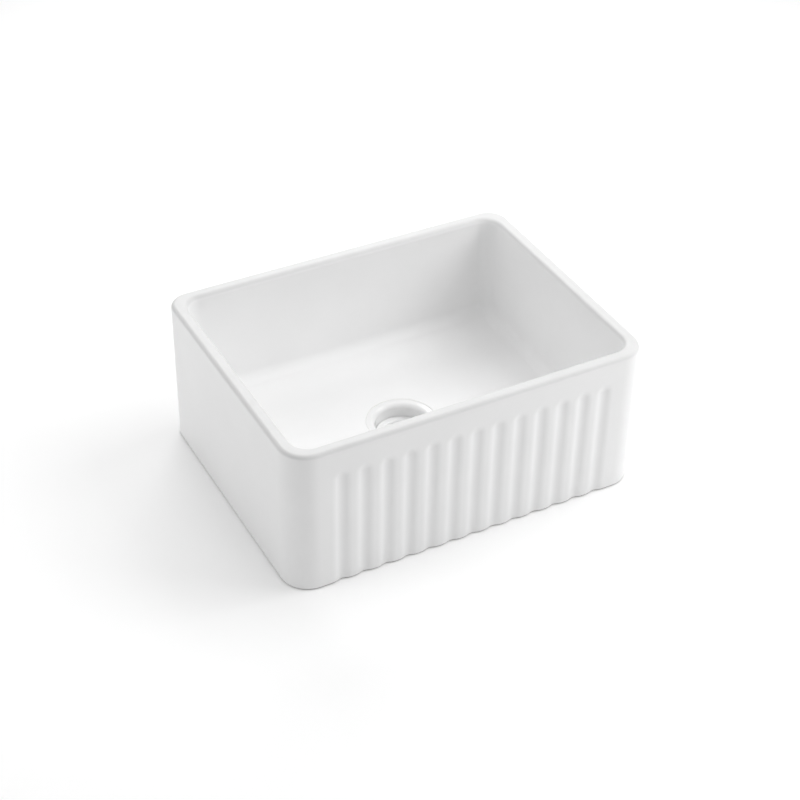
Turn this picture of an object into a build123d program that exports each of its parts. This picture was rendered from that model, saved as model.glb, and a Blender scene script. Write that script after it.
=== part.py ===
from build123d import *
from math import sin, cos, radians, pi
import os

# Farmhouse apron front kitchen sink in glazed fireclay, with its basket waste.
# Millimetres. +Z up, +X to the right along the apron, +Y to the back.
# The origin is on the ground under the middle of the sink, on the axis of the waste hole.

# ---------------------------------------------------------------- driving dimensions
sink_length = 597.0        # along the apron
sink_depth = 457.0         # apron to back
sink_height = 250.0
wall = 22.0                # thickness of rim and walls at the top
front_corner_r = 44.0      # outer vertical corners at the apron
back_corner_r = 34.0       # outer vertical corners at the back
bowl_corner_r = 28.0       # vertical corners inside the bowl
bowl_draft = 1.3           # degrees, the walls lean out towards the rim
rim_round_out = 7.0
rim_round_in = 8.0
base_round = 3.0           # edge on which the skirt meets the ground, outside
floor_round = 20.0         # between bowl walls and bowl floor
floor_z = 61.5             # bowl floor at the waste
floor_fall = 1.1           # degrees, fall of the bowl floor towards the waste
underside_z = 33.0         # underside of the floor, inside the skirt
skirt = 22.0               # thickness of the skirt at the ground
skirt_corner_r = 18.0
skirt_round = 8.0          # between skirt and underside

# flutes of the apron
flute_count = 13
flute_pitch = 36.6
flute_slope = radians(22.0)   # steepest slope of the flute's side
flute_hollow_r = 19.5         # concave bottom of a flute
flute_shoulder_r = 24.0       # convex shoulder that runs out into the face
flute_end_z = 194.5           # centre of the round upper end
shoulder_stop = radians(1.5)

# waste hole in the floor
hole_r = 45.0
hole_round = 8.0
seat_r = 57.8              # sunk seat of the flange
seat_z = 58.6
seat_lip = 0.7             # rounding of the seat's outer edge

# flange and cup
sheet = 1.2                # pressed sheet
flange_r = 57.15
flange_top = 61.2
flange_flat = 60.8
roll_r = 12.0              # roll from the flange into the throat
throat_r = 42.4
cup_floor_z = 18.0         # inside of the cup's floor
cup_corner = 7.0
outlet_r = 20.0

# outlet nipple
nipple_thread_r = 24.1
nipple_thread_z = (2.5, 15.3)
nipple_collar_r = 29.0
nipple_collar_t = 1.5

# clamping stack under the floor
gasket_r = (45.6, 60.5)
gasket_t = 3.0
washer_r = (44.6, 59.0)
washer_t = 1.0
nut_t = 9.0
nut_r = 52.0
nut_lug_r = 58.0
nut_lugs = 8

# basket
basket_rim_r = 41.7
basket_rim_z = 36.5        # top of the flat rim
basket_neck_r = 33.5
basket_floor_r = 27.0
basket_floor_z = 24.4      # top of the basket's floor
basket_sheet = 0.9
seal_r = 26.6
post_r = 2.5
post_top = 45.0
hub_bore = 4.3
hub_r = 6.8
close_fit = 0.02           # radial gap of pieces fitted on each other without motion
running_fit = 0.05         # radial gap between post and spring collar
knob_r = 9.5
knob_z = (44.0, 54.0)

os.makedirs("parts", exist_ok=True)


def ring_body(points):
    """Solid of revolution about the waste axis from a closed outline of (radius, height) points."""
    outline = Polyline(*[(r, 0, z) for r, z in points], close=True)
    return revolve(make_face(outline), Axis.Z, 360)


def first(shape):
    """The one solid of a shape."""
    solids = shape.solids()
    if len(solids) != 1:
        print("  solids:", len(solids))
    return max(solids, key=lambda s: s.volume)


def rounded(solid, edges, radius):
    return first(solid.fillet(radius, edges))


def bevelled(solid, edges, length):
    return first(solid.chamfer(length, None, edges))


# ---------------------------------------------------------------- the fireclay casting
def flute_cutters():
    """Thirteen round-ended flutes, as one tool."""
    depth = (flute_hollow_r + flute_shoulder_r) * (1 - cos(flute_slope))
    xi = flute_hollow_r * sin(flute_slope)
    di = depth - flute_hollow_r * (1 - cos(flute_slope))
    xs = (flute_hollow_r + flute_shoulder_r) * sin(flute_slope)
    xe = xs - flute_shoulder_r * sin(shoulder_stop)
    de = flute_shoulder_r * (1 - cos(shoulder_stop))
    xo = xs + 0.7
    do = de - (xo - xe) * sin(shoulder_stop)
    half = flute_slope / 2
    # depth is measured from the face into the wall
    mid_in = (flute_hollow_r * sin(half), depth - flute_hollow_r * (1 - cos(half)))
    mid_angle = (flute_slope + shoulder_stop) / 2
    mid_out = (xs - flute_shoulder_r * sin(mid_angle), flute_shoulder_r * (1 - cos(mid_angle)))

    y0 = -sink_depth / 2

    def at(x, d):
        return (x, y0 + d)

    left = [(-x, d) for x, d in (mid_in, (xi, di), mid_out, (xe, de), (xo, do))]
    edges = [
        ThreePointArc(at(-xi, di), at(0, depth), at(xi, di)),
        ThreePointArc(at(xi, di), at(*mid_out), at(xe, de)),
        Line(at(xe, de), at(xo, do)),
        Line(at(xo, do), at(xo, -3)),
        Line(at(xo, -3), at(-xo, -3)),
        Line(at(-xo, -3), at(*left[4])),
        Line(at(*left[4]), at(*left[3])),
        ThreePointArc(at(*left[3]), at(*left[2]), at(*left[1])),
    ]
    section = make_face(edges)
    run = extrude(Pos(0, 0, -5) * section, amount=flute_end_z + 5, dir=(0, 0, 1))
    # upper end: one half of the section turned about the level line through the flute's middle
    half_edges = [
        ThreePointArc(at(0, depth), at(*mid_in), at(xi, di)),
        ThreePointArc(at(xi, di), at(*mid_out), at(xe, de)),
        Line(at(xe, de), at(xo, do)),
        Line(at(xo, do), at(xo, -3)),
        Line(at(xo, -3), at(0, -3)),
        Line(at(0, -3), at(0, depth)),
    ]
    half_face = make_face(half_edges)
    end = revolve(half_face, Axis((0, 0, 0), (0, 1, 0)), -180)
    end = Pos(0, 0, flute_end_z) * end
    return run, end


def sink_plan():
    """Outline of the casting: rounder corners at the apron than at the back."""
    x, y = sink_length / 2, sink_depth / 2
    f, b = front_corner_r, back_corner_r
    cf, cb = f * (1 - cos(radians(45))), b * (1 - cos(radians(45)))
    edges = [
        Line((-x + f, -y), (x - f, -y)),
        ThreePointArc((x - f, -y), (x - cf, -y + cf), (x, -y + f)),
        Line((x, -y + f), (x, y - b)),
        ThreePointArc((x, y - b), (x - cb, y - cb), (x - b, y)),
        Line((x - b, y), (-x + b, y)),
        ThreePointArc((-x + b, y), (-x + cb, y - cb), (-x, y - b)),
        Line((-x, y - b), (-x, -y + f)),
        ThreePointArc((-x, -y + f), (-x + cf, -y + cf), (-x + f, -y)),
    ]
    return make_face(edges)


def sink_solid():
    body = first(extrude(sink_plan(), amount=sink_height, dir=(0, 0, 1)))

    # bowl: tapered pocket standing on a very flat cone that falls to the waste
    pocket = extrude(
        Pos(0, 0, sink_height) * RectangleRounded(sink_length - 2 * wall, sink_depth - 2 * wall, bowl_corner_r),
        amount=-(sink_height - floor_z + 5),
        taper=bowl_draft,
    )
    fall = sin(radians(floor_fall)) / cos(radians(floor_fall))
    keep = ring_body([(0, floor_z), (seat_r + 2, floor_z), (400, floor_z + (400 - seat_r - 2) * fall), (400, 300), (0, 300)])
    pocket = first(pocket & keep)
    bottom = [
        e for e in pocket.edges()
        if e.bounding_box().max.Z < floor_z + 8
        and e.geom_type != GeomType.LINE
        and (e.center() - Vector(0, 0, e.center().Z)).length > 120
    ]
    pocket = rounded(pocket, bottom, floor_round)
    body = first(body - pocket)

    # hollow under the floor
    hollow = extrude(
        RectangleRounded(sink_length - 2 * skirt, sink_depth - 2 * skirt, skirt_corner_r),
        amount=underside_z,
        taper=1.0,
    )
    hollow = first(hollow)
    hollow = rounded(hollow, hollow.faces().sort_by(Axis.Z)[-1].edges(), skirt_round)
    body = first(body - hollow)

    # waste hole with its sunk flange seat
    body = body - Pos(0, 0, -1) * extrude(Circle(hole_r), amount=120)
    body = body - Pos(0, 0, seat_z) * extrude(Circle(seat_r), amount=40)
    body = first(body)
    return body


def level_edges(body, z, near, far):
    """Edges of the body that lie at one height, with their middles between two distances from the sides."""
    found = []
    for e in body.edges():
        box = e.bounding_box()
        if abs(box.min.Z - z) > 0.01 or abs(box.max.Z - z) > 0.01:
            continue
        c = e.center()
        edge_gap = min(sink_length / 2 - abs(c.X), sink_depth / 2 - abs(c.Y))
        if near <= edge_gap <= far:
            found.append(e)
    return found


def round_edges(body, radius, height):
    """Circular edges of one radius at one height."""
    return [
        e for e in body.edges()
        if e.geom_type == GeomType.CIRCLE
        and abs(e.radius - radius) < 0.01
        and abs(e.center().Z - height) < 0.01
    ]


body = sink_solid()
body = rounded(body, level_edges(body, sink_height, -1, 16), rim_round_out)
body = rounded(body, level_edges(body, sink_height, 18, 60), rim_round_in)
# rounded edge between flange seat and waste hole, the seat's own lip, and the hole's lower edge
body = rounded(body, round_edges(body, hole_r, seat_z), hole_round)
body = rounded(body, round_edges(body, seat_r, floor_z), seat_lip)
body = bevelled(body, round_edges(body, hole_r, underside_z), 1.5)

run, end = flute_cutters()
first_x = -(flute_count - 1) / 2 * flute_pitch
for i in range(flute_count):
    place = Pos(first_x + i * flute_pitch, 0, 0)
    body = body - place * run
    body = body - place * end
body = first(body)

# rounded edge of the base, all the way round and through the flutes
body = first(body)
base_edges = [e for e in level_edges(body, 0, -1, 16)]
try:
    body = rounded(body, base_edges, base_round)
    print("base edge rounded")
except Exception as problem:
    print("base edge left sharp:", len(base_edges), problem)

sink_body = body

# ---------------------------------------------------------------- flange and cup
def strainer_solid():
    zc = flange_flat - roll_r            # centre of the roll
    rc = throat_r + roll_r
    outline = (
        Line((flange_r, 0, seat_z + 0.5), (flange_r, 0, flange_top - 1.6))
        + ThreePointArc(
            (flange_r, 0, flange_top - 1.6),
            (flange_r - 0.45, 0, flange_top - 0.45),
            (flange_r - 1.6, 0, flange_top),
        )
        + Line((flange_r - 1.6, 0, flange_top), (rc, 0, flange_flat))
        + ThreePointArc(
            (rc, 0, flange_flat),
            (rc - roll_r * sin(radians(45)), 0, zc + roll_r * cos(radians(45))),
            (throat_r, 0, zc),
        )
        + Line((throat_r, 0, zc), (throat_r, 0, cup_floor_z + cup_corner))
        + ThreePointArc(
            (throat_r, 0, cup_floor_z + cup_corner),
            (throat_r - cup_corner * (1 - sin(radians(45))), 0, cup_floor_z + cup_corner * (1 - sin(radians(45)))),
            (throat_r - cup_corner, 0, cup_floor_z),
        )
        + Line((throat_r - cup_corner, 0, cup_floor_z), (outlet_r, 0, cup_floor_z))
        + Line((outlet_r, 0, cup_floor_z), (outlet_r, 0, cup_floor_z - sheet))
        + Line((outlet_r, 0, cup_floor_z - sheet), (throat_r - cup_corner, 0, cup_floor_z - sheet))
        + ThreePointArc(
            (throat_r - cup_corner, 0, cup_floor_z - sheet),
            (throat_r - cup_corner + (cup_corner + sheet) * sin(radians(45)), 0, cup_floor_z + cup_corner - (cup_corner + sheet) * sin(radians(45))),
            (throat_r + sheet, 0, cup_floor_z + cup_corner),
        )
        + Line((throat_r + sheet, 0, cup_floor_z + cup_corner), (throat_r + sheet, 0, zc))
        + ThreePointArc(
            (throat_r + sheet, 0, zc),
            (rc - (roll_r - sheet) * sin(radians(45)), 0, zc + (roll_r - sheet) * cos(radians(45))),
            (rc, 0, flange_flat - sheet),
        )
        + Line((rc, 0, flange_flat - sheet), (flange_r - sheet, 0, flange_top - sheet))
        + Line((flange_r - sheet, 0, flange_top - sheet), (flange_r - sheet, 0, seat_z + 0.5))
        + Line((flange_r - sheet, 0, seat_z + 0.5), (flange_r, 0, seat_z + 0.5))
    )
    face = make_face(outline.edges())
    return first(revolve(face, Axis.Z, 360))


strainer_body = strainer_solid()

# white bedding under the flange, round its turned-down lip and up into the gap between lip and seat
bead_r = 53.6
flange_sealant = ring_body([
    (bead_r, seat_z),
    (seat_r - close_fit, seat_z),
    (seat_r - close_fit, floor_z - seat_lip - 0.1),
    (flange_r + close_fit, floor_z - seat_lip - 0.2),
    (flange_r + close_fit, seat_z + 0.5 - close_fit),
    (flange_r - sheet - close_fit, seat_z + 0.5 - close_fit),
    (flange_r - sheet - close_fit, flange_top - sheet - 0.2),
    (bead_r, flange_flat - sheet - 0.2),
])
flange_sealant = first(flange_sealant)

# ---------------------------------------------------------------- clamping stack under the floor
gasket_z = underside_z - gasket_t
rubber_gasket = first(extrude(Pos(0, 0, gasket_z) * (Circle(gasket_r[1]) - Circle(gasket_r[0])), amount=gasket_t))
rubber_gasket = bevelled(rubber_gasket, [e for e in round_edges(rubber_gasket, gasket_r[1], gasket_z)], 0.6)
washer_z = gasket_z - washer_t
friction_washer = first(extrude(Pos(0, 0, washer_z) * (Circle(washer_r[1]) - Circle(washer_r[0])), amount=washer_t))

nut_z = washer_z - nut_t
nut = extrude(Pos(0, 0, nut_z) * Circle(nut_r), amount=nut_t)
for i in range(nut_lugs):
    lug = Pos(0, 0, nut_z) * Rot(0, 0, i * 360 / nut_lugs + 22.5) * Pos((nut_r + nut_lug_r) / 2 - 1.5, 0, 0) * extrude(Rectangle(nut_lug_r - nut_r + 3, 11), amount=nut_t)
    nut = nut + lug
nut = nut + Pos(0, 0, washer_z - 2) * extrude(Circle(washer_r[1] - 0.5), amount=2)
nut = nut - Pos(0, 0, nut_z - 1) * extrude(Circle(throat_r + sheet + close_fit), amount=nut_t + 3)
locknut = first(nut)
locknut = bevelled(locknut, round_edges(locknut, throat_r + sheet + close_fit, nut_z), 0.8)

# ---------------------------------------------------------------- outlet
collar_z = cup_floor_z - sheet - nipple_collar_t
nipple = extrude(Pos(0, 0, nipple_thread_z[0]) * Circle(nipple_thread_r), amount=collar_z - nipple_thread_z[0])
nipple = nipple + Pos(0, 0, collar_z) * extrude(Circle(nipple_collar_r), amount=nipple_collar_t)
nipple = nipple - extrude(Circle(outlet_r), amount=40)
outlet_nipple = first(nipple)
outlet_nipple = bevelled(outlet_nipple, round_edges(outlet_nipple, nipple_thread_r, nipple_thread_z[0]), 0.8)

# cross with a hub, let into the outlet
cross_z = (12.6, 15.2)
cross = Pos(0, 0, 9.0) * extrude(Circle(hub_r), amount=cross_z[1] - 9.0)
for i in range(4):
    arm = Pos(0, 0, cross_z[0]) * Rot(0, 0, 45 + 90 * i) * Pos((outlet_r + 4) / 2, 0, 0) * extrude(Rectangle(outlet_r - 4 + 2, 3.2), amount=cross_z[1] - cross_z[0])
    cross = cross + arm
cross = cross & (Pos(0, 0, 5) * extrude(Circle(outlet_r - close_fit), amount=20))
cross = cross - extrude(Circle(hub_bore), amount=40)
post_crossbar = first(cross)

# ---------------------------------------------------------------- basket
def basket_solid():
    t = basket_sheet
    zr = basket_rim_z
    zf = basket_floor_z
    bore = post_r + close_fit
    points = [
        # inside, from the turned-up rim edge down to the floor, then back up outside
        (basket_rim_r, zr + 1.2), (basket_rim_r - t, zr + 1.2), (basket_rim_r - t, zr),
        (basket_neck_r, zr), (basket_neck_r - 1.2, zr - 0.9), (basket_floor_r + 1.2, zf + 1.2), (basket_floor_r, zf),
        (9.0, zf), (7.0, zf + 1.6), (bore, zf + 1.6),
        (bore, zf + 1.6 - t), (6.6, zf + 1.6 - t), (8.6, zf - t),
        (basket_floor_r + 0.4, zf - t), (basket_floor_r + 2.0, zf + 0.9), (basket_neck_r - 0.5, zr - 1.4), (basket_neck_r + 0.3, zr - t),
        (basket_rim_r, zr - t),
    ]
    shell = ring_body(points)
    cuts = []
    for count, radius, size in ((10, 13.0, 1.9), (16, 19.0, 1.9), (20, 24.4, 1.9)):
        for i in range(count):
            a = 2 * pi * (i + 0.5) / count
            cuts.append(Pos(radius * cos(a), radius * sin(a), zf - 3) * extrude(Circle(size), amount=6))
    for i in range(24):
        a = 360 / 24 * i
        cuts.append(Rot(0, 0, a) * Pos(basket_neck_r - 3, 0, (zr + zf) / 2 + 0.4) * Box(12, 2.4, 5.6))
    for c in cuts:
        shell = shell - c
    return first(shell)


basket_shell = basket_solid()

# rubber stopper: thick hub, thin skirt whose lip lies on the cup's floor
zf_under = basket_floor_z - basket_sheet
bore = post_r + close_fit
stopper_seal = first(ring_body([
    (bore, zf_under), (8.4, zf_under), (13.0, zf_under - 0.2), (seal_r - 3.0, zf_under - 2.2), (seal_r, cup_floor_z + 1.0),
    (seal_r, cup_floor_z + 0.35), (seal_r - 0.8, cup_floor_z), (seal_r - 2.2, cup_floor_z), (seal_r - 4.0, cup_floor_z + 1.2),
    (15.0, cup_floor_z + 2.2), (bore, cup_floor_z + 2.2),
]))
seal_washer = first(ring_body([
    (bore, cup_floor_z + 1.0), (13.0, cup_floor_z + 1.0), (14.0, cup_floor_z + 1.5), (14.0, cup_floor_z + 2.2), (bore, cup_floor_z + 2.2),
]))
nut6 = Pos(0, 0, cup_floor_z - 1.6) * extrude(RegularPolygon(radius=4.6, side_count=6), amount=2.6)
nut6 = nut6 - extrude(Circle(bore), amount=60)
post_nut = first(nut6)

post = Pos(0, 0, 6.0) * extrude(Circle(post_r), amount=post_top - 6.0)
post = post + Pos(0, 0, basket_floor_z + 1.6) * extrude(Circle(4.6), amount=1.6)
post = post - Pos(0, 0, 8.6) * (extrude(Circle(post_r + 2), amount=6.2) - extrude(Circle(1.9), amount=6.2))
basket_post = first(post)
basket_post = bevelled(basket_post, round_edges(basket_post, post_r, 6.0), 0.7)

# split spring collar in the post's groove
collar = ring_body([
    (1.9 + running_fit, 8.7), (3.1, 8.7), (4.0, 10.4), (4.0, 12.6), (3.1, 14.6), (1.9 + running_fit, 14.6),
])
collar = collar - Pos(4, 0, 11.6) * Box(6, 0.9, 10)
post_clip = first(collar)

# knob: a low mushroom on the post
knob = ring_body([
    (0, knob_z[0]), (4.6, knob_z[0]), (5.0, knob_z[0] + 0.5), (4.6, knob_z[0] + 3.0), (knob_r - 1.0, knob_z[0] + 5.2),
    (knob_r, knob_z[0] + 6.4), (knob_r - 0.6, knob_z[0] + 8.4), (knob_r - 2.6, knob_z[1] - 0.5), (knob_r - 5.0, knob_z[1]), (0, knob_z[1]),
])
knob = knob - Pos(0, 0, knob_z[0] - 1) * extrude(Circle(post_r + close_fit), amount=post_top - knob_z[0] + 1)
basket_knob = first(knob)

nodes = {
    "sink_body": sink_body,
    "strainer_body": strainer_body,
    "flange_sealant": flange_sealant,
    "rubber_gasket": rubber_gasket,
    "friction_washer": friction_washer,
    "locknut": locknut,
    "outlet_nipple": outlet_nipple,
    "post_crossbar": post_crossbar,
    "basket_shell": basket_shell,
    "basket_knob": basket_knob,
    "basket_post": basket_post,
    "stopper_seal": stopper_seal,
    "seal_washer": seal_washer,
    "post_nut": post_nut,
    "post_clip": post_clip,
}
for name, shape in nodes.items():
    export_step(shape, "parts/" + name + ".step")
    box = shape.bounding_box()
    print(f"{name:18s} {shape.volume:12.1f} mm3  valid {shape.is_valid}  z {box.min.Z:.2f}..{box.max.Z:.2f}")
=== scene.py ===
import bpy
import numpy as np
from math import sin, cos, tan, pi, radians, atan2, hypot
from mathutils import Matrix, Vector


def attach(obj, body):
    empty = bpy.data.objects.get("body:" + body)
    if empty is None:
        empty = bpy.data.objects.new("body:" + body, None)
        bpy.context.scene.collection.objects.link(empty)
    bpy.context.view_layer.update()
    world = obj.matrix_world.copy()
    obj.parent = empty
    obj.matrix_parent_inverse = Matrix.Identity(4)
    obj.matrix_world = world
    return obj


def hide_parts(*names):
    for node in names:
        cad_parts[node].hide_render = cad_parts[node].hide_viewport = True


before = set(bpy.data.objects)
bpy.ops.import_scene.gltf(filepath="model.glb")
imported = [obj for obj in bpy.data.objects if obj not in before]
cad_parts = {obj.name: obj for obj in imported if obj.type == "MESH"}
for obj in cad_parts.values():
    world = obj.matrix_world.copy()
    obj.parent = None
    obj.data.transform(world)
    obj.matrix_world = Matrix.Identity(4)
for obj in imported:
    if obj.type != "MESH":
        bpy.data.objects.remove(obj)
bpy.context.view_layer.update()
scene = bpy.context.scene
MM = 0.001


# ================================================================ node helpers
class Shader:
    """A principled material with short calls for its nodes."""

    def __init__(self, name):
        self.material = bpy.data.materials.new(name)
        self.material.use_nodes = True
        self.tree = self.material.node_tree
        self.tree.nodes.clear()
        self.out = self.add("ShaderNodeOutputMaterial")
        self.bsdf = self.add("ShaderNodeBsdfPrincipled")
        self.link(self.bsdf.outputs["BSDF"], self.out.inputs["Surface"])
        self.coord = self.add("ShaderNodeTexCoord").outputs["Object"]

    def add(self, kind, **settings):
        node = self.tree.nodes.new(kind)
        for key, value in settings.items():
            setattr(node, key, value)
        return node

    def link(self, a, b):
        self.tree.links.new(a, b)

    def set(self, **values):
        for key, value in values.items():
            self.bsdf.inputs[key.replace("_", " ")].default_value = value

    def place(self, scale=(1, 1, 1), turn=(0, 0, 0)):
        node = self.add("ShaderNodeMapping")
        node.inputs["Scale"].default_value = scale
        node.inputs["Rotation"].default_value = turn
        self.link(self.coord, node.inputs["Vector"])
        return node.outputs["Vector"]

    def noise(self, scale, detail=2.0, rough=0.5, at=None, distortion=0.0):
        node = self.add("ShaderNodeTexNoise")
        node.inputs["Scale"].default_value = scale
        node.inputs["Detail"].default_value = detail
        node.inputs["Roughness"].default_value = rough
        node.inputs["Distortion"].default_value = distortion
        self.link(at if at is not None else self.coord, node.inputs["Vector"])
        return node.outputs["Fac"]

    def cells(self, scale, feature="F1", at=None):
        node = self.add("ShaderNodeTexVoronoi", feature=feature)
        node.inputs["Scale"].default_value = scale
        self.link(at if at is not None else self.coord, node.inputs["Vector"])
        return node.outputs["Distance"]

    def remap(self, value, a, b, c, d, smooth=False):
        node = self.add("ShaderNodeMapRange")
        if smooth:
            node.interpolation_type = "SMOOTHSTEP"
        for name, v in (("From Min", a), ("From Max", b), ("To Min", c), ("To Max", d)):
            node.inputs[name].default_value = v
        self.link(value, node.inputs["Value"])
        return node.outputs["Result"]

    def math(self, how, a, b):
        node = self.add("ShaderNodeMath", operation=how)
        for socket, v in zip(node.inputs, (a, b)):
            if isinstance(v, (int, float)):
                socket.default_value = v
            else:
                self.link(v, socket)
        return node.outputs["Value"]

    def mix(self, factor, a, b):
        node = self.add("ShaderNodeMix", data_type="RGBA")
        if isinstance(factor, (int, float)):
            node.inputs["Factor"].default_value = factor
        else:
            self.link(factor, node.inputs["Factor"])
        for socket, v in ((node.inputs[6], a), (node.inputs[7], b)):
            if isinstance(v, (tuple, list)):
                socket.default_value = (*v, 1.0)
            else:
                self.link(v, socket)
        return node.outputs[2]

    def bump(self, height, distance, strength=1.0, under=None):
        node = self.add("ShaderNodeBump")
        node.inputs["Distance"].default_value = distance
        node.inputs["Strength"].default_value = strength
        self.link(height, node.inputs["Height"])
        if under is not None:
            self.link(under, node.inputs["Normal"])
        return node.outputs["Normal"]

    def axis(self, which):
        node = self.add("ShaderNodeSeparateXYZ")
        self.link(self.coord, node.inputs["Vector"])
        return node.outputs[which]


def glaze_material():
    s = Shader("white_glaze")
    # colour: cloudy depth in the glaze, the body showing through a little on sharp edges, rare fine specks
    cloud = s.remap(s.noise(9.0, 3.0, 0.55), 0.3, 0.7, 0.0, 1.0)
    base = s.mix(cloud, (0.848, 0.848, 0.848), (0.868, 0.868, 0.868))
    edge = s.add("ShaderNodeNewGeometry").outputs["Pointiness"]
    thin = s.remap(edge, 0.515, 0.56, 0.0, 0.35, True)
    base = s.mix(thin, base, (0.840, 0.838, 0.835))
    # painted shade: the top of the rim is darkened, broken into soft patches by noise
    rim = s.remap(s.axis("Z"), 0.2430, 0.2480, 0.0, 1.0, True)
    rim_shade_patches = s.remap(s.noise(30.0, 3.0, 0.6), 0.3, 0.7, 0.85, 1.0)
    base = s.mix(s.math("MULTIPLY", rim, rim_shade_patches), base, (0.680, 0.680, 0.679))
    spot = s.remap(s.cells(210.0), 0.035, 0.06, 1.0, 0.0, True)
    rare = s.remap(s.noise(64.0, 1.0), 0.66, 0.69, 0.0, 0.30, True)
    base = s.mix(s.math("MULTIPLY", spot, rare), base, (0.55, 0.52, 0.48))
    s.link(base, s.bsdf.inputs["Base Color"])
    # gloss: water-like sheen with soft patches
    gloss = s.remap(s.noise(22.0, 4.0, 0.6), 0.3, 0.7, 0.30, 0.38)
    s.link(gloss, s.bsdf.inputs["Roughness"])
    # relief: slow waves of the hand-dipped glaze, then a fine orange peel, then pinholes
    n = s.bump(s.noise(16.0, 1.0, 0.4), 0.00055, 0.55)
    n = s.bump(s.noise(260.0, 2.0, 0.5), 0.00002, 0.5, n)
    n = s.bump(s.math("MULTIPLY", spot, rare), 0.00004, -0.6, n)
    s.link(n, s.bsdf.inputs["Normal"])
    s.set(IOR=1.5, Specular_IOR_Level=0.22)
    return s.material


def bisque_material():
    s = Shader("bare_fireclay")
    warm = s.noise(14.0, 5.0, 0.6)
    base = s.mix(warm, (0.70, 0.665, 0.60), (0.80, 0.775, 0.72))
    grit = s.remap(s.cells(520.0), 0.05, 0.22, 1.0, 0.0)
    base = s.mix(s.math("MULTIPLY", grit, 0.35), base, (0.47, 0.42, 0.35))
    # drips and mist of glaze that ran over from the glazed side
    mist = s.remap(s.noise(7.0, 6.0, 0.65), 0.52, 0.66, 0.0, 0.75, True)
    base = s.mix(mist, base, (0.87, 0.865, 0.85))
    s.link(base, s.bsdf.inputs["Base Color"])
    s.link(s.remap(mist, 0.0, 0.75, 0.86, 0.42), s.bsdf.inputs["Roughness"])
    n = s.bump(s.noise(90.0, 6.0, 0.65), 0.0006, 0.5)
    n = s.bump(s.noise(900.0, 2.0), 0.00012, 0.6, n)
    s.link(n, s.bsdf.inputs["Normal"])
    s.set(IOR=1.45)
    return s.material


def contact_shadow_material():
    s = Shader("painted_contact_shadow")
    # painted contact shadow: a dark band on the lowest rows of the base rounding, where the sink meets the floor
    tone = s.noise(60.0, 5.0, 0.65)
    base = s.mix(tone, (0.235, 0.232, 0.226), (0.345, 0.342, 0.336))
    s.link(base, s.bsdf.inputs["Base Color"])
    s.link(s.remap(tone, 0.3, 0.7, 0.75, 0.9), s.bsdf.inputs["Roughness"])
    s.link(s.bump(s.noise(700.0, 4.0, 0.6), 0.00015, 0.5), s.bsdf.inputs["Normal"])
    s.set(IOR=1.45, Specular_IOR_Level=0.2)
    return s.material


def enamel_material(name, low, high):
    s = Shader(name)
    base = s.mix(s.noise(60.0, 2.0), (low, low, low), (high, high, high))
    edge = s.add("ShaderNodeNewGeometry").outputs["Pointiness"]
    base = s.mix(s.remap(edge, 0.53, 0.62, 0.0, 0.3, True), base, (0.80, 0.80, 0.79))
    s.link(base, s.bsdf.inputs["Base Color"])
    s.link(s.remap(s.noise(120.0, 3.0), 0.3, 0.7, 0.10, 0.17), s.bsdf.inputs["Roughness"])
    n = s.bump(s.noise(700.0, 1.0), 0.00002, 0.6)
    s.link(n, s.bsdf.inputs["Normal"])
    s.set(IOR=1.5, Coat_Weight=0.15, Coat_Roughness=0.05)
    return s.material


def sealant_material():
    s = Shader("white_silicone")
    base = s.mix(s.noise(90.0, 3.0), (0.83, 0.83, 0.82), (0.88, 0.88, 0.87))
    s.link(base, s.bsdf.inputs["Base Color"])
    s.link(s.remap(s.noise(300.0, 2.0), 0.3, 0.7, 0.34, 0.48), s.bsdf.inputs["Roughness"])
    s.link(s.bump(s.noise(240.0, 3.0), 0.00015, 0.5), s.bsdf.inputs["Normal"])
    s.set(IOR=1.41)
    return s.material


def rubber_material():
    s = Shader("black_rubber")
    base = s.mix(s.noise(240.0, 4.0), (0.017, 0.017, 0.018), (0.042, 0.042, 0.043))
    bloom = s.remap(s.noise(26.0, 5.0, 0.7), 0.5, 0.75, 0.0, 0.22, True)
    base = s.mix(bloom, base, (0.16, 0.16, 0.155))
    s.link(base, s.bsdf.inputs["Base Color"])
    s.link(s.remap(s.noise(140.0, 3.0), 0.3, 0.7, 0.52, 0.72), s.bsdf.inputs["Roughness"])
    s.link(s.bump(s.noise(1400.0, 2.0), 0.00006, 0.6), s.bsdf.inputs["Normal"])
    s.set(IOR=1.5)
    return s.material


def fibre_material():
    s = Shader("red_fibre")
    strands = s.noise(420.0, 5.0, 0.7, s.place((1.0, 0.22, 1.0), (0, 0, 0.6)))
    base = s.mix(strands, (0.22, 0.085, 0.05), (0.40, 0.20, 0.12))
    s.link(base, s.bsdf.inputs["Base Color"])
    s.link(s.remap(strands, 0.3, 0.7, 0.68, 0.88), s.bsdf.inputs["Roughness"])
    s.link(s.bump(strands, 0.00012, 0.7), s.bsdf.inputs["Normal"])
    return s.material


def cast_brass_material():
    s = Shader("cast_brass")
    tone = s.noise(34.0, 5.0, 0.6)
    base = s.mix(tone, (0.50, 0.36, 0.17), (0.72, 0.56, 0.30))
    dark = s.remap(s.noise(120.0, 4.0, 0.7), 0.52, 0.72, 0.0, 0.55, True)
    base = s.mix(dark, base, (0.20, 0.135, 0.07))
    s.link(base, s.bsdf.inputs["Base Color"])
    s.link(s.remap(s.noise(180.0, 4.0), 0.3, 0.7, 0.34, 0.58), s.bsdf.inputs["Roughness"])
    n = s.bump(s.noise(330.0, 5.0, 0.6), 0.00025, 0.5)
    s.link(n, s.bsdf.inputs["Normal"])
    s.set(Metallic=1.0)
    return s.material


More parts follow.
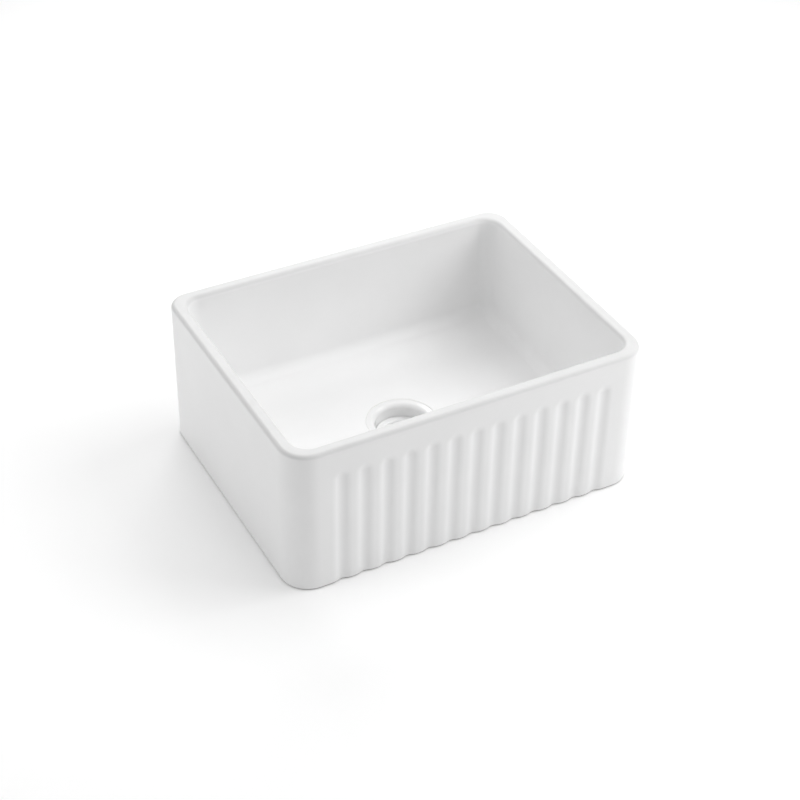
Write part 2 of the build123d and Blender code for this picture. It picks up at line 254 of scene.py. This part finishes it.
def turned_brass_material():
    s = Shader("turned_brass")
    # turning marks follow the height, so they ring the piece
    rings = s.noise(1.0, 3.0, 0.6, s.place((15.0, 15.0, 4200.0)))
    base = s.mix(rings, (0.66, 0.49, 0.22), (0.84, 0.67, 0.37))
    tarnish = s.remap(s.noise(60.0, 4.0, 0.6), 0.5, 0.75, 0.0, 0.5, True)
    base = s.mix(tarnish, base, (0.40, 0.26, 0.12))
    s.link(base, s.bsdf.inputs["Base Color"])
    s.link(s.remap(rings, 0.3, 0.7, 0.18, 0.34), s.bsdf.inputs["Roughness"])
    s.link(s.bump(rings, 0.00003, 0.5), s.bsdf.inputs["Normal"])
    s.set(Metallic=1.0)
    return s.material


def stainless_material():
    s = Shader("brushed_stainless")
    strokes = s.noise(1.0, 4.0, 0.65, s.place((900.0, 900.0, 3600.0)))
    patch = s.noise(70.0, 3.0)
    base = s.mix(strokes, (0.52, 0.52, 0.515), (0.70, 0.70, 0.695))
    base = s.mix(s.remap(patch, 0.45, 0.75, 0.0, 0.3), base, (0.46, 0.455, 0.44))
    s.link(base, s.bsdf.inputs["Base Color"])
    s.link(s.remap(strokes, 0.3, 0.7, 0.20, 0.36), s.bsdf.inputs["Roughness"])
    s.link(s.bump(strokes, 0.00002, 0.5), s.bsdf.inputs["Normal"])
    s.set(Metallic=1.0)
    return s.material


def knob_material():
    s = Shader("white_knob")
    base = s.mix(s.noise(150.0, 2.0), (0.86, 0.86, 0.855), (0.89, 0.89, 0.885))
    s.link(base, s.bsdf.inputs["Base Color"])
    s.link(s.remap(s.noise(260.0, 3.0), 0.3, 0.7, 0.14, 0.22), s.bsdf.inputs["Roughness"])
    s.link(s.bump(s.noise(900.0, 1.0), 0.00001, 0.5), s.bsdf.inputs["Normal"])
    s.set(IOR=1.49)
    return s.material


glaze = glaze_material()
bisque = bisque_material()
foot_contact_shadow = contact_shadow_material()
# darker copy of the white enamel: painted shade for the cup wall seen inside the waste hole
enamel = enamel_material("white_enamel", 0.80, 0.82)
# lighter copy of the same white enamel: painted light for the basket seen at the bottom of the waste hole
basket_enamel_painted_light = enamel_material("basket_enamel_painted_light", 0.90, 0.925)
silicone = sealant_material()
rubber = rubber_material()
fibre = fibre_material()
cast_brass = cast_brass_material()
turned_brass = turned_brass_material()
stainless = stainless_material()
knob_white = knob_material()


# ================================================================ mesh helpers
def make_object(name, verts, faces, materials, face_material=None, sharp=40.0):
    mesh = bpy.data.meshes.new(name)
    mesh.from_pydata([tuple(v) for v in verts], [], [tuple(f) for f in faces])
    for m in materials:
        mesh.materials.append(m)
    if face_material is not None:
        mesh.polygons.foreach_set("material_index", np.asarray(face_material, np.int32))
    mesh.polygons.foreach_set("use_smooth", np.ones(len(mesh.polygons), bool))
    mesh.update()
    if sharp:
        mesh.set_sharp_from_angle(angle=radians(sharp))
    mesh.validate()
    obj = bpy.data.objects.new(name, mesh)
    scene.collection.objects.link(obj)
    return obj


def soften(points, bend=5, closed=True, gap=0.25):
    """(radius, height, rounding) corners to a finely stepped outline, in mm. Long runs get a step close to each
    bend, which keeps their shading flat."""
    out = []
    count = len(points)
    for i, p in enumerate(points):
        r, z, f = p if len(p) == 3 else (*p, 0.0)
        ends = not closed and i in (0, count - 1)
        if f <= 0 or ends:
            out.append((r, z))
            continue
        a = np.array(points[i - 1][:2], float)
        b = np.array((r, z), float)
        c = np.array(points[(i + 1) % count][:2], float)
        u, v = (a - b) / np.linalg.norm(a - b), (c - b) / np.linalg.norm(c - b)
        half = np.arccos(np.clip(u @ v, -1, 1)) / 2
        if half > radians(88.5):
            out.append((r, z))
            continue
        t = min(f / tan(half), 0.49 * np.linalg.norm(a - b), 0.49 * np.linalg.norm(c - b))
        f = t * tan(half)
        middle = b + (u + v) / np.linalg.norm(u + v) * f / sin(half)
        start, end = b + u * t, b + v * t
        a0 = atan2(*(start - middle)[::-1])
        a1 = atan2(*(end - middle)[::-1])
        turn = (a1 - a0 + pi) % (2 * pi) - pi
        steps = max(2, int(round(bend * max(1.0, abs(turn) / (pi / 4)) * (1.0 if f < 3 else 1.6))))
        for k in range(steps + 1):
            w = a0 + turn * k / steps
            out.append((middle[0] + f * cos(w), middle[1] + f * sin(w)))
    stepped = []
    n = len(out)
    for i in range(n if closed else n - 1):
        a, b = np.array(out[i], float), np.array(out[(i + 1) % n], float)
        stepped.append(tuple(a))
        length = np.linalg.norm(b - a)
        if length > 4 * gap:
            stepped.append(tuple(a + (b - a) * gap / length))
            stepped.append(tuple(b - (b - a) * gap / length))
    if not closed:
        stepped.append(out[-1])
    return stepped


def sheet_outline(points, thickness, bend=6):
    """Closed outline of a pressed sheet that follows the (radius, height, rounding) corners of its middle line."""
    line = np.array(soften(points, bend, closed=False), float)
    step = np.diff(line, axis=0)
    step /= np.linalg.norm(step, axis=1)[:, None]
    tangent = np.vstack([step[:1], step[1:] + step[:-1], step[-1:]])
    tangent /= np.linalg.norm(tangent, axis=1)[:, None]
    side = np.stack([-tangent[:, 1], tangent[:, 0]], 1) * thickness / 2
    one, two = line + side, line - side

    def cap(centre, direction, first_side):
        pts = []
        for k in range(1, 6):
            w = pi * k / 6
            pts.append(centre + first_side * cos(w) + direction * thickness / 2 * sin(w) * 0.8)
        return pts

    out = list(one) + cap(line[-1], tangent[-1], side[-1]) + list(two[::-1]) + cap(line[0], -tangent[0], -side[0])
    return [tuple(p) for p in out]


def lathe(name, outline, materials, segments=144, swell=None, sharp=35.0, closed=True):
    """Solid of revolution about the waste axis. outline is in mm. swell(radius, height, angles) may change the radii."""
    angles = np.arange(segments) * 2 * pi / segments
    verts, rows = [], []
    for r, z in outline:
        if r < 1e-6:
            rows.append([len(verts)])
            verts.append((0.0, 0.0, z * MM))
            continue
        radii = np.full(segments, float(r)) if swell is None else swell(r, z, angles)
        rows.append(list(range(len(verts), len(verts) + segments)))
        verts.extend(zip(radii * np.cos(angles) * MM, radii * np.sin(angles) * MM, np.full(segments, z * MM)))
    faces = []
    count = len(rows)
    for i in range(count if closed else count - 1):
        a, b = rows[i], rows[(i + 1) % count]
        if len(a) == 1 and len(b) == 1:
            continue
        for k in range(segments):
            m = (k + 1) % segments
            if len(a) == 1:
                faces.append((a[0], b[k], b[m]))
            elif len(b) == 1:
                faces.append((a[k], b[0], a[m]))
            else:
                faces.append((a[k], b[k], b[m], a[m]))
    obj = make_object(name, verts, faces, materials, sharp=None)
    outward(obj)
    if sharp:
        obj.data.set_sharp_from_angle(angle=radians(sharp))
    return obj


def outward(obj):
    import bmesh
    bm = bmesh.new()
    bm.from_mesh(obj.data)
    bmesh.ops.recalc_face_normals(bm, faces=bm.faces)
    bm.to_mesh(obj.data)
    bm.free()
    obj.data.update()


# ================================================================ the fireclay casting
L, W, H = 597.0, 457.0, 250.0
WALL, FRONT_CORNER, BACK_CORNER, BOWL_CORNER = 22.0, 44.0, 34.0, 28.0
DRAFT = tan(radians(1.3))
RIM_OUT, RIM_IN, BASE_ROUND, FLOOR_ROUND = 7.0, 8.0, 3.0, 20.0
FLOOR_Z, FALL = 61.5, tan(radians(1.1))
SEAT_R, SEAT_Z, SEAT_LIP, HOLE_R, HOLE_ROUND = 57.8, 58.6, 0.7, 45.0, 8.0
UNDER_Z, SKIRT, SKIRT_CORNER, SKIRT_ROUND = 33.0, 22.0, 18.0, 8.0
PITCH, COUNT, SLOPE, HOLLOW_R, SHOULDER_R, END_Z = 36.6, 13, radians(22.0), 19.5, 24.0, 194.5
FRONT, SIDE, BACK, ARC = 372, 66, 90, 14


def ring(a, b, r, front=None):
    """Points round a rounded rectangle, the same count at the same stations for every ring. front is the radius of
    the two corners at the apron where it differs."""
    f = r if front is None else front
    p = [np.stack([np.linspace(f - a, a - f, FRONT), np.full(FRONT, -b)], 1)]

    def arc(cx, cy, start, radius):
        w = radians(start) + np.arange(1, ARC) / ARC * pi / 2
        p.append(np.stack([cx + radius * np.cos(w), cy + radius * np.sin(w)], 1))

    arc(a - f, f - b, -90, f)
    p.append(np.stack([np.full(SIDE, a), np.linspace(f - b, b - r, SIDE)], 1))
    arc(a - r, b - r, 0, r)
    p.append(np.stack([np.linspace(a - r, r - a, BACK), np.full(BACK, b)], 1))
    arc(r - a, b - r, 90, r)
    p.append(np.stack([np.full(SIDE, -a), np.linspace(b - r, f - b, SIDE)], 1))
    arc(f - a, f - b, 180, f)
    return np.concatenate(p)


def outside(d):
    """Ring of the outer wall, moved in by d."""
    return ring(L / 2 - d, W / 2 - d, BACK_CORNER - d, FRONT_CORNER - d)


def flute_depth(x, z):
    centres = (np.arange(COUNT) - (COUNT - 1) / 2) * PITCH
    u = np.abs(x[:, None] - centres[None, :]).min(1)
    u = np.hypot(u, max(0.0, z - END_Z))
    depth = (HOLLOW_R + SHOULDER_R) * (1 - cos(SLOPE))
    xi = HOLLOW_R * sin(SLOPE)
    xs = (HOLLOW_R + SHOULDER_R) * sin(SLOPE)
    inner = depth - (HOLLOW_R - np.sqrt(np.maximum(HOLLOW_R**2 - u**2, 0)))
    outer = SHOULDER_R - np.sqrt(np.maximum(SHOULDER_R**2 - np.minimum(xs - u, SHOULDER_R) ** 2, 0))
    return np.where(u < xi, inner, np.where(u < xs, outer, 0.0))


def warp(x, y, z):
    """Slow unevenness of a fired wall, between 0 and 1."""
    w = np.sin(x / 83.0 + z / 71.0 + 0.7) + np.sin(y / 67.0 - z / 95.0 + 2.1) + np.sin((x + y) / 49.0 + z / 57.0)
    return 0.5 + w / 6.0


def sink_mesh():
    rows = []            # (points (N,2), heights (N,), kind: 0 glazed, 1 bare, 2 the lower base rounding, painted dark as contact shadow)

    def row(points, z, kind=0, depth=None):
        pts = np.array(points, float)
        if depth is not None:
            pts[:FRONT, 1] += depth
        rows.append((pts, np.broadcast_to(np.asarray(z, float), (len(pts),)).copy(), int(kind)))

    n = len(outside(0.0))
    edge = ring(L / 2 - WALL - 4, W / 2 - WALL - 4, 24.0)
    theta = np.arctan2(edge[:, 1], edge[:, 0])

    def circle(r):
        return np.stack([r * np.cos(theta), r * np.sin(theta)], 1)

    # lower edge of the waste hole, underside, skirt
    row(circle(HOLE_R), UNDER_Z + 1.5, True)
    row(circle(HOLE_R + 1.5), UNDER_Z, True)
    row(circle(HOLE_R + 1.8), UNDER_Z, True)
    top_in = UNDER_Z * tan(radians(1.0))
    a, b, r = L / 2 - SKIRT - top_in, W / 2 - SKIRT - top_in, SKIRT_CORNER - top_in
    far = ring(a - SKIRT_ROUND, b - SKIRT_ROUND, r - SKIRT_ROUND + 0.02)
    near = circle(HOLE_R + 1.8)
    for t in np.linspace(0, 1, 16)[1:] ** 1.35:
        row(near * (1 - t) + far * t, UNDER_Z, True)
    for k in range(1, 8):
        w = k / 7 * pi / 2
        d = SKIRT_ROUND * (1 - sin(w))
        row(ring(a - d, b - d, r - d), UNDER_Z - SKIRT_ROUND * (1 - cos(w)), True)
    for z in (22.0, 18.0, 13.0, 8.0, 4.0, 1.6, 1.2):
        d = z * tan(radians(1.0))
        row(ring(L / 2 - SKIRT - d, W / 2 - SKIRT - d, SKIRT_CORNER - d), z, True)
    for k in range(1, 4):
        w = k / 3 * pi / 2
        d = 1.2 * (1 - cos(w))
        row(ring(L / 2 - SKIRT + d, W / 2 - SKIRT + d, SKIRT_CORNER + d), 1.2 * (1 - sin(w)), True)
    # foot: flat ring on the ground
    inner_foot = ring(L / 2 - SKIRT + 1.5, W / 2 - SKIRT + 1.5, SKIRT_CORNER + 1.5)
    outer_foot = outside(BASE_ROUND)
    depth0 = flute_depth(outer_foot[:FRONT, 0], 0.0)
    shifted = outer_foot.copy()
    shifted[:FRONT, 1] += depth0
    row(inner_foot, 0.0, True)
    for t in (0.33, 0.66, 0.95):
        row(inner_foot * (1 - t) + shifted * t, 0.0, True)
    # rounded base edge, and the outer wall with its flutes; the lower rows of the base rounding carry the painted
    # contact shadow
    for k in range(0, 7):
        w = k / 6 * pi / 2
        d = BASE_ROUND * (1 - sin(w))
        pts = outside(d)
        row(pts, BASE_ROUND * (1 - cos(w)), 2 if k < 6 else 0, flute_depth(pts[:FRONT, 0], 0.0))
    heights = list(np.linspace(3.2, END_Z - 1.0, 34)) + list(np.linspace(END_Z, END_Z + 17.0, 20)) + [218.0, 225.0, 232.0, 237.0, 240.5, 242.5]
    for z in heights:
        pts = outside(0.0)
        row(pts, z, 0, flute_depth(pts[:FRONT, 0], z))
    # rim
    for k in range(0, 13):
        w = k / 12 * pi / 2
        d = RIM_OUT * (1 - cos(w))
        row(outside(d), H - RIM_OUT + RIM_OUT * sin(w))
    half = (pi / 2 - radians(1.3)) / 2
    flat = RIM_IN * tan(half)
    outer_flat = outside(RIM_OUT)
    inner_flat = ring(L / 2 - WALL + flat, W / 2 - WALL + flat, BOWL_CORNER + flat)
    for t in (0.06, 0.35, 0.65, 0.94):
        row(outer_flat * (1 - t) + inner_flat * t, H)
    for k in range(0, 12):
        w = k / 11 * 2 * half
        d = flat - RIM_IN * sin(w)
        row(ring(L / 2 - WALL + d, W / 2 - WALL + d, BOWL_CORNER + d), H - RIM_IN + RIM_IN * cos(w))
    # bowl wall
    def wall_ring(z):
        d = (H - z) * DRAFT
        return ring(L / 2 - WALL - d, W / 2 - WALL - d, BOWL_CORNER - d), d

    for z in (241.4, 239.0, 234.0, 225.0, 214.0, 202.0, 190.0, 178.0, 166.0, 154.0, 142.0, 130.0, 118.0, 107.0, 99.0, 93.0, 89.0):
        row(wall_ring(z)[0], z)
    # rounding between wall and floor, whose height follows the fall of the floor
    low, d_low = wall_ring(72.0)
    normal = np.zeros_like(low)
    tangent = np.roll(low, -1, 0) - np.roll(low, 1, 0)
    normal[:, 0], normal[:, 1] = -tangent[:, 1], tangent[:, 0]
    normal /= np.linalg.norm(normal, axis=1)[:, None]         # points into the bowl
    floor_at = FLOOR_Z + (np.hypot(low[:, 0], low[:, 1]) - FLOOR_ROUND - SEAT_R - 2) * FALL
    last = None
    for k in range(0, 10):
        w = k / 9 * (pi / 2 - radians(0.6))
        z = floor_at + FLOOR_ROUND * (1 - sin(w))
        lean = (z - 72.0) * DRAFT
        pts = low - normal * lean[:, None] + normal * (FLOOR_ROUND * (1 - cos(w)))
        row(pts, z)
        last = pts
    # floor: the fall is a flat cone round the waste
    seat_edge = circle(SEAT_R + 2.0)
    for t in np.concatenate([[0.01], np.linspace(0.04, 1.0, 30)]):
        pts = last * (1 - t) + seat_edge * t
        row(pts, FLOOR_Z + np.maximum(np.hypot(pts[:, 0], pts[:, 1]) - SEAT_R - 2, 0) * FALL)
    row(circle(SEAT_R + SEAT_LIP + 0.1), FLOOR_Z)
    for k in range(0, 6):
        w = k / 5 * pi / 2
        row(circle(SEAT_R + SEAT_LIP * (1 - sin(w))), FLOOR_Z - SEAT_LIP * (1 - cos(w)))
    row(circle(SEAT_R), SEAT_Z + 0.2)
    row(circle(SEAT_R), SEAT_Z)
    row(circle(SEAT_R - 0.2), SEAT_Z)
    row(circle(HOLE_R + HOLE_ROUND + 0.3), SEAT_Z)
    for k in range(0, 8):
        w = k / 7 * pi / 2
        row(circle(HOLE_R + HOLE_ROUND * (1 - sin(w))), SEAT_Z - HOLE_ROUND * (1 - cos(w)))
    row(circle(HOLE_R), 46.0)
    row(circle(HOLE_R), 36.0)

    # unevenness: always into the wall, so the casting never grows
    verts = np.zeros((len(rows), n, 3))
    for i, (pts, z, kind) in enumerate(rows):
        x, y = pts[:, 0], pts[:, 1]
        u = warp(x, y, z)
        side = np.clip((z - 12.0) / 40.0, 0, 1) * (0.0 if kind else 1.0)
        out = np.minimum(L / 2 - np.abs(x), W / 2 - np.abs(y))
        outer = np.clip(1 - out / 9.0, 0, 1) * side
        verts[i, :, 0] = x - np.sign(x) * outer * u * 0.30 * (np.abs(x) > L / 2 - 40)
        verts[i, :, 1] = y - np.sign(y) * outer * u * 0.30 * (np.abs(y) > W / 2 - 40)
        verts[i, :, 2] = z - np.clip((z - 242.0) / 8.0, 0, 1) * warp(y, x, z) * 0.30
    count = len(rows)
    idx = np.arange(count * n).reshape(count, n)
    a = idx
    b = np.roll(idx, -1, 0)
    quads = np.stack([a, np.roll(a, -1, 1), np.roll(b, -1, 1), b], -1).reshape(-1, 4)
    kinds = np.array([r[2] for r in rows])
    face_mat = np.repeat(np.minimum(kinds, np.roll(kinds, -1)), n)
    obj = make_object("sink_casting", (verts * MM).reshape(-1, 3), quads, [glaze, bisque, foot_contact_shadow], face_mat, sharp=None)
    outward(obj)
    obj.data.set_sharp_from_angle(angle=radians(50))
    return obj


sink = sink_mesh()
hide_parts("sink_body")
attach(sink, "sink")


# ================================================================ waste set, fixed pieces
strainer = lathe(
    "strainer_flange_and_cup",
    sheet_outline([
        (56.55, 59.5, 0), (56.55, 60.6, 0.8), (43.0, 60.05, 11.2), (43.0, 17.4, 7.6), (20.4, 17.4, 0),
    ], 1.2, bend=7),
    [enamel], 192,
)
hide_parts("strainer_body")
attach(strainer, "sink")

bead = lathe(
    "silicone_bedding",
    soften([
        (53.8, 58.62, 0.1), (57.77, 58.62, 0.1), (57.77, 60.80, 0), (57.86, 61.15, 0), (57.98, 61.31, 0), (58.12, 61.42, 0.05),
        (57.75, 61.33, 0.5), (57.10, 61.10, 0.05), (57.10, 59.30, 0.1), (55.9, 59.30, 0.1), (55.9, 59.80, 0.1), (53.8, 59.40, 0.1),
    ], 3),
    [silicone], 192,
)
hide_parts("flange_sealant")
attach(bead, "sink")

gasket = lathe(
    "under_gasket",
    soften([
        (45.6, 30.0, 0.6), (45.6, 33.0, 0.4), (60.5, 33.0, 0.4), (60.5, 31.9, 0.3), (60.1, 31.5, 0.3), (60.5, 31.1, 0.3),
        (60.5, 30.0, 0.6),
    ], 4),
    [rubber], 160,
)
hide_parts("rubber_gasket")
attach(gasket, "sink")

washer = lathe("fibre_ring", soften([(44.6, 29.0, 0.15), (44.6, 30.0, 0.15), (59.0, 30.0, 0.2), (59.0, 29.0, 0.2)], 3), [fibre], 160)
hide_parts("friction_washer")
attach(washer, "sink")


def lug_radius(angles, low, high):
    """Eight tapping lugs with sloped flanks."""
    phase = np.abs(((angles + radians(22.5)) % (pi / 4)) - pi / 8)
    width = radians(6.6)
    t = np.clip((width + radians(1.7) - phase) / radians(3.4), 0, 1)
    t = t * t * (3 - 2 * t)
    return low + (high - low) * t


def nut_swell(r, z, angles):
    if r > 51.0 and z < 27.3:
        top = lug_radius(angles, 52.0, 58.0)
        return top * r / 58.0 if r < 58.0 else top
    return np.full(len(angles), float(r))


nut = lathe(
    "large_locknut",
    soften([
        (43.64, 20.8, 0), (44.4, 20.0, 0), (49.8, 20.0, 0.3), (58.0, 20.0, 0.9), (58.0, 26.4, 0.5), (58.0, 27.2, 0),
        (58.4, 27.35, 0.4), (58.4, 29.0, 0.4), (43.64, 29.0, 0.2),
    ], 4),
    [cast_brass], 384, nut_swell,
)
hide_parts("locknut")
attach(nut, "sink")


# threaded outlet: a real helix, cut into the sleeve
def thread_swell(r, z, angles):
    radii = np.full(len(angles), float(r))
    if r > 23.9 and z < 14.9:
        pitch = 2.21
        phase = (z / pitch - angles / (2 * pi)) % 1.0
        tooth = np.abs(phase - 0.5) * 2
        tooth = np.clip((tooth - 0.12) / 0.76, 0, 1)
        fade = np.clip((z - 2.7) / 1.2, 0, 1) * np.clip((14.6 - z) / 1.6, 0, 1)
        radii = r - 1.15 * tooth * fade
    return radii


nipple_outline = [(20.0, 2.9), (20.25, 2.5), (23.2, 2.5), (23.7, 2.7), (24.1, 3.2)]
nipple_outline += [(24.1, float(z)) for z in np.arange(3.45, 14.9, 0.17)]
nipple_outline += soften([(24.1, 15.0, 0), (24.1, 15.3, 0.2), (28.6, 15.3, 0.4), (29.0, 16.78, 0.3), (20.0, 16.78, 0.1)], 3, closed=False)
nipple = lathe("threaded_outlet", nipple_outline, [turned_brass], 144, thread_swell, sharp=50.0)
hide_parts("outlet_nipple")
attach(nipple, "sink")


# ================================================================ basket
def cut(obj, cutters):
    """Cuts a joined set of closed cutters out of a piece."""
    tool = bpy.data.objects.new("tool", cutters)
    scene.collection.objects.link(tool)
    mod = obj.modifiers.new("holes", "BOOLEAN")
    mod.operation = "DIFFERENCE"
    mod.object = tool
    mod.solver = "EXACT"
    bpy.context.view_layer.update()
    dg = bpy.context.evaluated_depsgraph_get()
    made = bpy.data.meshes.new_from_object(obj.evaluated_get(dg))
    obj.modifiers.clear()
    obj.data = made
    bpy.data.objects.remove(tool)


def prism(outline, x, y, turn, z0, z1, verts, faces):
    """A closed upright prism added to a growing list."""
    base = len(verts)
    c, s = cos(turn), sin(turn)
    count = len(outline)
    for z in (z0, z1):
        for u, v in outline:
            verts.append(((x + u * c - v * s) * MM, (y + u * s + v * c) * MM, z * MM))
    faces.append(tuple(base + k for k in reversed(range(count))))
    faces.append(tuple(base + count + k for k in range(count)))
    for k in range(count):
        m = (k + 1) % count
        faces.append((base + k, base + m, base + count + m, base + count + k))


def basket_mesh():
    shell = lathe(
        "perforated_basket",
        sheet_outline([
            (41.2, 37.55, 0), (41.2, 36.05, 0.7), (33.1, 36.05, 2.2), (27.9, 23.95, 2.6), (9.2, 23.95, 1.4), (6.8, 25.55, 1.4), (2.6, 25.55, 0),
        ], 0.9, bend=5),
        [basket_enamel_painted_light], 168,
    )
    verts, faces = [], []
    disc = [(1.9 * cos(w), 1.9 * sin(w)) for w in np.arange(20) * 2 * pi / 20]
    for count, radius in ((10, 13.0), (16, 19.0), (20, 24.4)):
        for i in range(count):
            w = 2 * pi * (i + 0.5) / count
            prism(disc, radius * cos(w), radius * sin(w), 0, 22.4, 25.4, verts, faces)
    # side slots: rounded bars lying across the sloped wall
    slot = [(1.2 * cos(w), (1.2 * sin(w) + (1.6 if sin(w) > 0 else -1.6))) for w in (np.arange(20) + 0.5) * 2 * pi / 20]
    for i in range(24):
        w = 2 * pi * i / 24
        base = len(verts)
        for rad in (24.0, 36.0):
            for u, v in slot:
                x, y, z = rad, u, 30.9 + v
                verts.append(((x * cos(w) - y * sin(w)) * MM, (x * sin(w) + y * cos(w)) * MM, z * MM))
        k20 = len(slot)
        faces.append(tuple(base + k for k in reversed(range(k20))))
        faces.append(tuple(base + k20 + k for k in range(k20)))
        for k in range(k20):
            m = (k + 1) % k20
            faces.append((base + k, base + m, base + k20 + m, base + k20 + k))
    tool = bpy.data.meshes.new("holes")
    tool.from_pydata(verts, [], faces)
    tool.update()
    import bmesh
    bm = bmesh.new()
    bm.from_mesh(tool)
    bmesh.ops.recalc_face_normals(bm, faces=bm.faces)
    bm.to_mesh(tool)
    bm.free()
    cut(shell, tool)
    shell.data.polygons.foreach_set("use_smooth", np.ones(len(shell.data.polygons), bool))
    shell.data.set_sharp_from_angle(angle=radians(32))
    return shell


basket = basket_mesh()
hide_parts("basket_shell")
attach(basket, "basket")

knob = lathe(
    "lift_knob",
    soften([
        (0, 44.0, 0), (4.7, 44.0, 0.35), (4.9, 46.6, 1.2), (9.3, 50.2, 0.9), (9.45, 52.3, 1.4), (6.8, 53.95, 1.6), (4.6, 53.55, 3.0), (0, 53.35, 0),
    ], 5, closed=False),
    [knob_white], 112, closed=False,
)
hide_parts("basket_knob")
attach(knob, "basket")

post = lathe(
    "basket_stem",
    soften([
        (0, 6.0, 0), (1.9, 6.0, 0), (2.5, 6.7, 0.2), (2.5, 8.6, 0.1), (1.9, 8.6, 0.05), (1.9, 14.8, 0.05), (2.5, 14.8, 0.1),
        (2.5, 26.0, 0), (4.6, 26.0, 0.25), (4.6, 27.6, 0.35), (2.5, 27.6, 0.3), (2.5, 44.4, 0), (0, 44.4, 0),
    ], 3, closed=False),
    [stainless], 72, closed=False,
)
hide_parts("basket_post")
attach(post, "basket")

seal = lathe(
    "rubber_stopper",
    soften([
        (2.6, 23.45, 0), (8.4, 23.45, 0.4), (13.0, 23.1, 1.5), (16.6, 22.6, 0.4), (17.0, 22.9, 0.3), (17.5, 22.4, 0.3), (22.8, 21.5, 1.6),
        (26.5, 19.0, 0.8), (26.55, 18.4, 0.25), (25.8, 18.05, 0.2), (24.4, 18.05, 0.25), (22.6, 19.2, 1.2), (15.0, 20.25, 0.6), (2.6, 20.25, 0),
    ], 4),
    [rubber], 144,
)
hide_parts("stopper_seal")
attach(seal, "basket")

for name, mat in (("seal_washer", stainless), ("post_nut", turned_brass), ("post_clip", stainless), ("post_crossbar", stainless)):
    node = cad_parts[name]
    if not node.material_slots:
        node.data.materials.append(mat)
    for s in node.material_slots:
        s.material = mat


# ================================================================ stage, camera, light
def floor_material():
    s = Shader("floor_white")
    base = s.mix(s.noise(3.0, 2.0), (0.915, 0.915, 0.915), (0.925, 0.925, 0.925))
    s.link(base, s.bsdf.inputs["Base Color"])
    s.set(Roughness=0.85, Specular_IOR_Level=0.15)
    s.bsdf.inputs["Emission Color"].default_value = (1, 1, 1, 1)
    s.bsdf.inputs["Emission Strength"].default_value = FLOOR_GLOW
    return s.material


FLOOR_GLOW = 0.090
LIGHTS = [
    # azimuth and elevation as seen from the sink, in degrees (0 is the front, 90 the right), distance, size, power
    (60, 35, 2.5, (1.3, 1.3), 18.4),
    (90, 52, 2.5, (1.3, 1.3), 16.4),
    (165, 43, 2.5, (1.3, 1.3), 15.9),
    (240, 26, 2.6, (2.4, 1.9), 13.2),
    (45, 80, 2.5, (2.2, 2.2), 8.3),
    (270, 35, 2.5, (1.3, 1.3), 7.2),
    (315, 80, 2.5, (2.2, 2.2), 6.1),
    (150, 30, 2.5, (1.3, 1.3), 6.1),
    (15, 35, 2.5, (1.3, 1.3), 4.3),
    (30, 26, 2.6, (2.4, 1.9), 3.1),
    (60, 18, 2.5, (1.3, 1.3), 2.4),
]

floor_mesh = bpy.data.meshes.new("floor")
floor_mesh.from_pydata([(-14, -14, 0), (14, -14, 0), (14, 14, 0), (-14, 14, 0)], [], [(0, 1, 2, 3)])
floor = bpy.data.objects.new("studio_floor", floor_mesh)
scene.collection.objects.link(floor)
floor_mesh.materials.append(floor_material())

world = bpy.data.worlds.new("studio")
scene.world = world
world.use_nodes = True
world.node_tree.nodes["Background"].inputs["Color"].default_value = (1, 1, 1, 1)
world.node_tree.nodes["Background"].inputs["Strength"].default_value = 0.244

AIM = Vector((0.0, 0.0, 0.12))
for azimuth, elevation, distance, size, power in LIGHTS:
    w, e = radians(azimuth), radians(elevation)
    data = bpy.data.lights.new(f"softbox_{azimuth}_{elevation}", "AREA")
    data.shape = "RECTANGLE"
    data.size, data.size_y = size
    data.energy = power
    lamp = bpy.data.objects.new(data.name, data)
    lamp.location = AIM + distance * Vector((sin(w) * cos(e), -cos(w) * cos(e), sin(e)))
    lamp.rotation_euler = (AIM - lamp.location).to_track_quat("-Z", "Y").to_euler()
    scene.collection.objects.link(lamp)

# camera: the photograph's view, measured on the sink's straight edges
yaw, pitch, roll = 0.502563, 0.652576, 0.019818
forward = Vector((sin(yaw) * cos(pitch), cos(yaw) * cos(pitch), -sin(pitch)))
right = Vector((cos(yaw), -sin(yaw), 0))
up = right.cross(forward)
right2 = right * cos(roll) + up * sin(roll)
up2 = -right * sin(roll) + up * cos(roll)
data = bpy.data.cameras.new("camera")
data.sensor_fit = "HORIZONTAL"
data.sensor_width = 36.0
data.lens = 1769.141 / 800 * 36.0
data.clip_start, data.clip_end = 0.05, 60.0
camera = bpy.data.objects.new("camera", data)
place = Matrix((
    (right2.x, up2.x, -forward.x, -1.068098),
    (right2.y, up2.y, -forward.y, -1.936459),
    (right2.z, up2.z, -forward.z, 1.792578),
    (0, 0, 0, 1),
))
camera.matrix_world = place
scene.collection.objects.link(camera)
scene.camera = camera

scene.view_settings.view_transform = "Standard"
scene.view_settings.look = "None"
scene.view_settings.exposure = 0.0
scene.view_settings.gamma = 1.0
